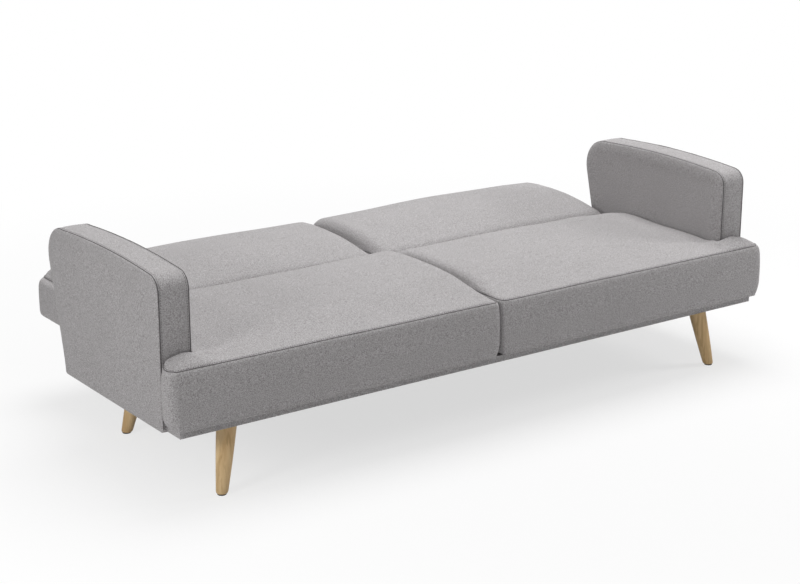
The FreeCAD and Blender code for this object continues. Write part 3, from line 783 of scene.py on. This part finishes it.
def arm_outline():
    """Closed outline of the arm's side in Y and Z."""
    y0, y1 = ARM_LOW[1], ARM_LOW[1] + ARM_BOTTOM
    z0, z1 = ARM_LOW[2] - 0.001, ARM_LOW[2] + ARM_FRONT
    y2 = y1 + ARM_LEAN * (z1 - z0)
    crown = []
    for i in range(TOP_STEPS + 1):
        s = i / TOP_STEPS
        crown.append(Vector((y0 + (y2 - y0) * s, z1 + ARM_CROWN * s * (1 - s))))
    top = [p for p in crown if y0 + FRONT_RADIUS + 0.002 < p.x < y2 - REAR_RADIUS - 0.002]
    path = [Vector((y0, z0))]
    path += fillet(path[0], crown[0], crown[1], FRONT_RADIUS)
    path += top
    path += fillet(crown[-2], crown[-1], Vector((y1, z0)), REAR_RADIUS)
    path += [Vector((y1, z0))]
    return resample(path, ARM_COUNT)


def resample(path, count):
    """Points at equal spacing round a closed path."""
    path = path + path[:1]
    runs = [(b - a).length for a, b in zip(path, path[1:])]
    out, leg, start = [], 0, 0.0
    for i in range(count):
        want = sum(runs) * i / count
        while start + runs[leg] < want:
            start += runs[leg]
            leg += 1
        out.append(path[leg].lerp(path[leg + 1], (want - start) / runs[leg]))
    return out


def arm_ring(path, x, inset, share=1.0):
    """The outline at x, drawn in by inset (less at the floor side) and then scaled."""
    centre = sum(path, Vector((0, 0))) / len(path)
    floor = min(p.y for p in path)
    out = []
    for i, p in enumerate(path):
        run = path[(i + 1) % len(path)] - path[i - 1]
        normal = Vector((-run.y, run.x)).normalized()
        tight = 0.35 + 0.65 * smooth(0.0, 0.05, p.y - floor)
        q = p - normal * inset * tight
        q = centre + (q - centre) * share
        out.append(Vector((x, q.x, q.y)))
    return out


def arm(side, seed):
    """Padded arm: two panels sewn to a gusset, with a dark tube of painted seam shade and a row
    of stitches at each.
    """
    path = arm_outline()
    x0, x1 = ARM_LOW[0], ARM_HIGH[0]
    rings = []
    for depth, share in reversed(PANEL_RINGS):
        rings.append(arm_ring(path, x1 - depth, PANEL_INSET, share))
    for depth, inset in reversed(EDGE_RINGS):
        rings.append(arm_ring(path, x1 - depth, inset))
    for depth, inset in EDGE_RINGS[1:]:
        rings.append(arm_ring(path, x0 + depth * 0.9, inset))
    for depth, share in PANEL_RINGS:
        rings.append(arm_ring(path, x0 + max(depth, -INNER_SWELL), PANEL_INSET, share))
    for ring in rings:
        for p in ring:
            p.x += 0.0008 * sway(p.x * 0.3, p.y, p.z, 0.16, seed)
    bm = loft(rings)
    on_side(bm, side)
    obj = make(side + "_arm_upholstery", bm, "base", 1)
    seam, groove = EDGE_RINGS[SEAM_RING]
    for edge, face, turn in (("outer", x1, -1), ("inner", x0, 1)):
        lines = []
        for depth, inset in ((seam - 0.0010, groove), (seam + 0.0050, 0.0)):
            ring = arm_ring(path, face + turn * depth, inset)
            lines.append(mirrored([p for p in ring if p.z > ARM_LOW[2] + 0.003], side))
        # dark tube along each seam: painted shade of its groove
        seam_shade_line(f"{side}_arm_{edge}_seam", obj, lines[0], "base", seam_shade,
                  lift=SEAM_SHADE_RAISE)
        stitch_row(f"{side}_arm_{edge}_stitches", obj, lines[1], "base", cloth_thread)
    obj.data.materials.append(cloth)
    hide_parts(side + "_arm_cover")


arm("right", 2.2)
arm("left", 6.4)


# Legs

LEG_TOP, LEG_FOOT = 0.0270, 0.0155    # radii
LEG_HEIGHT = 0.184
LEG_LEAN = (0.0365, 0.028)   # shift of the top against the foot, along X and Y
LEG_SWELL = 0.0011           # belly of the taper, halfway up
LEG_COUNT = 64               # points round the leg
LEG_ROWS = 14
FOOT_ROWS = ((0.0, 0.35), (0.0, 0.80), (0.0010, 0.90), (0.0028, 0.965), (0.0055, 1.0))


def leg(end, side):
    """Round tapered leg, leaning inwards from its foot to the plinth."""
    low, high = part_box(end + "_" + side + "_leg")
    sx = SIGN[side]
    sy = -1 if end == "front" else 1
    foot = Vector((sx * (max(abs(low[0]), abs(high[0])) - LEG_FOOT), 0, low[2]))
    foot.y = (low[1] if sy < 0 else high[1]) - sy * LEG_FOOT
    lean = Vector((-sx * LEG_LEAN[0], -sy * LEG_LEAN[1], 0))
    rows = list(FOOT_ROWS)
    rows += [(LEG_HEIGHT * i / LEG_ROWS, 1.0) for i in range(1, LEG_ROWS + 1)]
    rings = []
    for rise, share in rows:
        t = rise / LEG_HEIGHT
        radius = LEG_FOOT + (LEG_TOP - LEG_FOOT) * t + LEG_SWELL * math.sin(math.pi * t)
        radius *= share
        centre = foot + lean * t + Vector((0, 0, rise))
        rings.append([centre + Vector((radius * math.cos(math.tau * i / LEG_COUNT),
                                       radius * math.sin(math.tau * i / LEG_COUNT), 0))
                      for i in range(LEG_COUNT)])
    bm = loft(rings)
    obj = make(end + "_" + side + "_leg_oak", bm, "base")
    obj.data.materials.append(oak)
    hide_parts(end + "_" + side + "_leg")


for leg_end in ("front", "rear"):
    for leg_side in ("left", "right"):
        leg(leg_end, leg_side)


# CAD nodes that show as they are

def dress(name, material, bevel=0.0):
    """Gives a CAD node its material and, if asked, softened edges."""
    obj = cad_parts[name]
    for i in range(max(1, len(obj.data.materials))):
        if i < len(obj.data.materials):
            obj.data.materials[i] = material
        else:
            obj.data.materials.append(material)
    if bevel:
        mod = obj.modifiers.new("soft_edges", "BEVEL")
        mod.width = bevel
        mod.segments = 3
        mod.limit_method = "ANGLE"
        mod.angle_limit = SHARP
        mod.harden_normals = True


LOOKS = (("plinth", cloth, 0.0022), ("webbing", webbing, 0), ("_frame", raw_wood, 0),
         ("panel", cloth, 0.0008), ("dust_cover", dark_cloth, 0), ("glides", plastic, 0),
         ("springs", black_steel, 0), ("inserts", brass, 0), ("plate_bolts", steel, 0),
         ("_plate", black_steel, 0.0003), ("_pawl", black_steel, 0.0003), ("", steel, 0))
for node_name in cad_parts:
    _, look, edge = next(row for row in LOOKS if row[0] in node_name)
    dress(node_name, look, edge)


# Dust cover

MIDDLE_HALF = 0.05           # half the width of the plinth's middle board
END_BAND = 0.05              # cloth that lies on the end boards
LONG_BAND = 0.07             # cloth that lies on the front and the rear boards
SAG = 0.0045


def dust_cover():
    """Thin black cloth pulled flat under the plinth, with a slight sag in its bays."""
    low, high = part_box("dust_cover")
    top = high[2] - 0.0006
    bays = (low[0] + END_BAND, -MIDDLE_HALF, MIDDLE_HALF, high[0] - END_BAND)
    bend = LONG_BAND + 0.005
    bm = bmesh.new()
    plan_grid(bm, steps(low[0], -MIDDLE_HALF, MIDDLE_HALF, high[0]),
              steps(low[1], low[1] + bend, high[1] - bend, high[1]))
    for v in bm.verts:
        x, y, _ = v.co
        along_y = max(0.0, (y - low[1] - LONG_BAND) * (high[1] - LONG_BAND - y))
        along_x = max(0.0, (x - bays[0]) * (bays[1] - x), (x - bays[2]) * (bays[3] - x))
        sag = SAG * min(1.0, along_y / 0.02) * min(1.0, along_x / 0.05)
        v.co.z = top - sag - 0.0004 * (1 + sway(x, y, 0, 0.07, 4.4)) * (sag > 0)
    bmesh.ops.solidify(bm, geom=bm.faces, thickness=0.0005)
    obj = make("dust_cover_cloth", bm, "base")
    obj.data.materials.append(dark_cloth)
    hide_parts("dust_cover")


dust_cover()


# Stage, light and camera

FLOOR_SEEN = (0.84, 0.84, 0.84, 1)
FLOOR_FELT = (0.68, 0.68, 0.68, 1)    # what lights the sofa from below
FADE_NEAR, FADE_FAR = 0.7, 2.6        # from the shadow's middle
FADE_SHIFT = (-0.35, -0.1, 0)


def stage_floor():
    """White floor that glows where seen, less near the sofa's shadow: the glow paints light into
    that shadow and fades the floor to pure white away from it.
    """
    bm = bmesh.new()
    bmesh.ops.create_grid(bm, x_segments=2, y_segments=2, size=40)
    mesh = bpy.data.meshes.new("studio_floor")
    bm.to_mesh(mesh)
    bm.free()
    floor = add_object("studio_floor", mesh)
    mat, tree, shader = nodes_of("floor_white")
    path = node(tree, "ShaderNodeLightPath")
    seen = math_node(tree, "MAXIMUM", path.outputs["Is Camera Ray"], math_node(
        tree, "MAXIMUM", path.outputs["Is Glossy Ray"], path.outputs["Is Transmission Ray"]))
    tone = node(tree, "ShaderNodeMix", data_type="RGBA")
    tree.links.new(seen, tone.inputs["Factor"])
    tone.inputs[6].default_value = FLOOR_FELT
    tone.inputs[7].default_value = FLOOR_SEEN
    tree.links.new(tone.outputs[2], shader.inputs["Base Color"])
    shader.inputs["Roughness"].default_value = 0.9
    shader.inputs["Specular IOR Level"].default_value = 0.1
    # painted light: the floor's own glow, seen by camera, glossy and transmission rays
    glow = node(tree, "ShaderNodeEmission", Color=(1, 1, 1, 1), Strength=1.0)
    far = node(tree, "ShaderNodeVectorMath", operation="LENGTH")
    tree.links.new(object_coords(tree, shift=FADE_SHIFT), far.inputs[0])
    fade = node(tree, "ShaderNodeMapRange", interpolation_type="SMOOTHSTEP",
                From_Min=FADE_NEAR, From_Max=FADE_FAR, To_Min=0.66, To_Max=1.0)
    tree.links.new(far.outputs["Value"], fade.inputs["Value"])
    mix = node(tree, "ShaderNodeMixShader")
    out = next(n for n in tree.nodes if n.type == "OUTPUT_MATERIAL")
    tree.links.new(math_node(tree, "MULTIPLY", seen, fade.outputs["Result"]),
                   mix.inputs["Fac"])
    tree.links.new(shader.outputs["BSDF"], mix.inputs[1])
    tree.links.new(glow.outputs["Emission"], mix.inputs[2])
    tree.links.new(mix.outputs["Shader"], out.inputs["Surface"])
    mesh.materials.append(mat)


def area_light(name, place, target, size, power):
    """A round lamp that faces its target."""
    light = bpy.data.lights.new(name, "AREA")
    light.shape = "DISK"
    light.size = size
    light.energy = power
    obj = add_object(name, light)
    obj.location = place
    obj.rotation_euler = (Vector(target) - Vector(place)).to_track_quat("-Z", "Y").to_euler()


stage_floor()
area_light("overhead", (0.8, 0.8, 4.8), (0, 0, 0.3), 3.8, 205)
area_light("left_key", (-3.45, -1.0, 1.4), (-0.9, -0.1, 0.35), 0.9, 30)
area_light("right_key", (3.0, -1.3, 1.6), (0.8, -0.3, 0.35), 0.8, 25)

world = bpy.data.worlds.new("studio")
bpy.context.scene.world = world
world.use_nodes = True
world.node_tree.nodes["Background"].inputs["Color"].default_value = (1, 1, 1, 1)
world.node_tree.nodes["Background"].inputs["Strength"].default_value = 0.27

CAMERA_PLACE = (-2.856, -4.022, 1.762)
CAMERA_DIP = 16.831          # degrees below the horizon
CAMERA_TURN = -35.56         # degrees from the +Y direction

camera = bpy.data.cameras.new("camera")
camera.sensor_width = 36.0
camera.lens = 78.69
camera_object = add_object("camera", camera)
camera_object.location = CAMERA_PLACE
camera_object.rotation_euler = (math.radians(90 - CAMERA_DIP), 0, math.radians(CAMERA_TURN))
bpy.context.scene.camera = camera_object
bpy.context.scene.view_settings.view_transform = "Standard"
bpy.context.scene.view_settings.look = "None"
